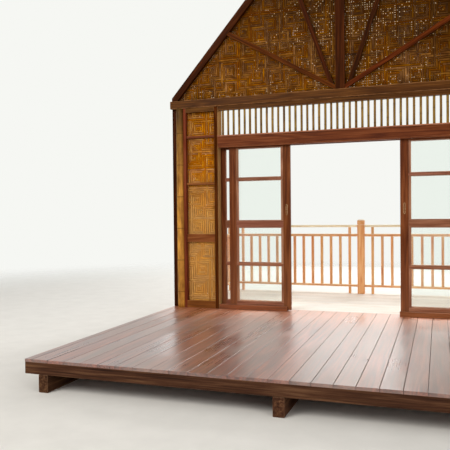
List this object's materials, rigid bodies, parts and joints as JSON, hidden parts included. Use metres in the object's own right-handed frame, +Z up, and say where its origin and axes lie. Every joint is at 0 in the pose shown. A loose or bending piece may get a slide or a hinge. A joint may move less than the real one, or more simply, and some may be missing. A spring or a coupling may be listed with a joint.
{
  "type": "gable end wall with sliding doors and balcony",
  "caption": "Timber gable end wall of a stilt house: glazed sliding doors, bamboo transom, woven matting, king-post truss and a railed balcony on floor beams.",
  "frame": {"origin": "middle of the footprint, level with the underside of the floor beams", "axes": "+Z up, +X along the wall to the right as seen from the room, +Y out from the room to the balcony"},
  "size_m": [4.4, 5.008, 5.4707],
  "materials": {
    "red_timber": "satin stained hardwood",
    "dark_timber": "satin dark stained hardwood",
    "railing_timber": "sun-bleached oiled hardwood",
    "floor_boards": "worn glossy varnish",
    "deck_boards": "weathered matt",
    "bamboo": "semi-gloss cane skin",
    "woven_matting": "split bamboo strips, semi-matt",
    "pane_glass": "clear",
    "track_steel": "galvanised",
    "pull_metal": "tarnished"
  },
  "bodies": {
    "frame": {"floor_beams": "dark_timber", "floor_joists": "dark_timber", "room_floor": "floor_boards", "balcony_deck": "deck_boards", "corner_post_left": "dark_timber", "corner_post_right": "dark_timber", "corner_pole_left": "bamboo", "corner_pole_right": "bamboo", "wall_studs_left": "dark_timber", "wall_studs_right": "dark_timber", "side_rails_left": "red_timber", "side_rails_right": "red_timber", "side_matting_left": "woven_matting", "side_matting_right": "woven_matting", "door_head": "red_timber", "outer_head": "red_timber", "transom_ledge": "red_timber", "transom_bars": "bamboo", "transom_head": "red_timber", "tie_beam": "red_timber", "king_post": "dark_timber", "rafter_left": "dark_timber", "rafter_right": "dark_timber", "struts_left": "dark_timber", "struts_right": "dark_timber", "gable_matting": "woven_matting", "gable_studs": "dark_timber", "door_track": "track_steel", "door_kerbs": "red_timber", "fixed_light_left": "red_timber", "fixed_light_right": "red_timber", "fixed_glass_left": "pane_glass", "fixed_glass_right": "pane_glass", "railing_posts": "railing_timber", "railing_front": "railing_timber", "railing_left": "railing_timber", "railing_right": "railing_timber"},
    "left_leaf": {"leaf_left": "red_timber", "leaf_glass_left": "pane_glass", "leaf_hangers_left": "track_steel", "leaf_pulls_left": "pull_metal"},
    "right_leaf": {"leaf_right": "red_timber", "leaf_glass_right": "pane_glass", "leaf_hangers_right": "track_steel", "leaf_pulls_right": "pull_metal"}
  },
  "joints": [
    {"name": "left_leaf_slide", "type": "slide", "parent": "frame", "child": "left_leaf", "axis": [1, 0, 0], "range_m": [-0.123, 0.6245]},
    {"name": "right_leaf_slide", "type": "slide", "parent": "frame", "child": "right_leaf", "axis": [-1, 0, 0], "range_m": [-0.075, 0.6725]}
  ]
}
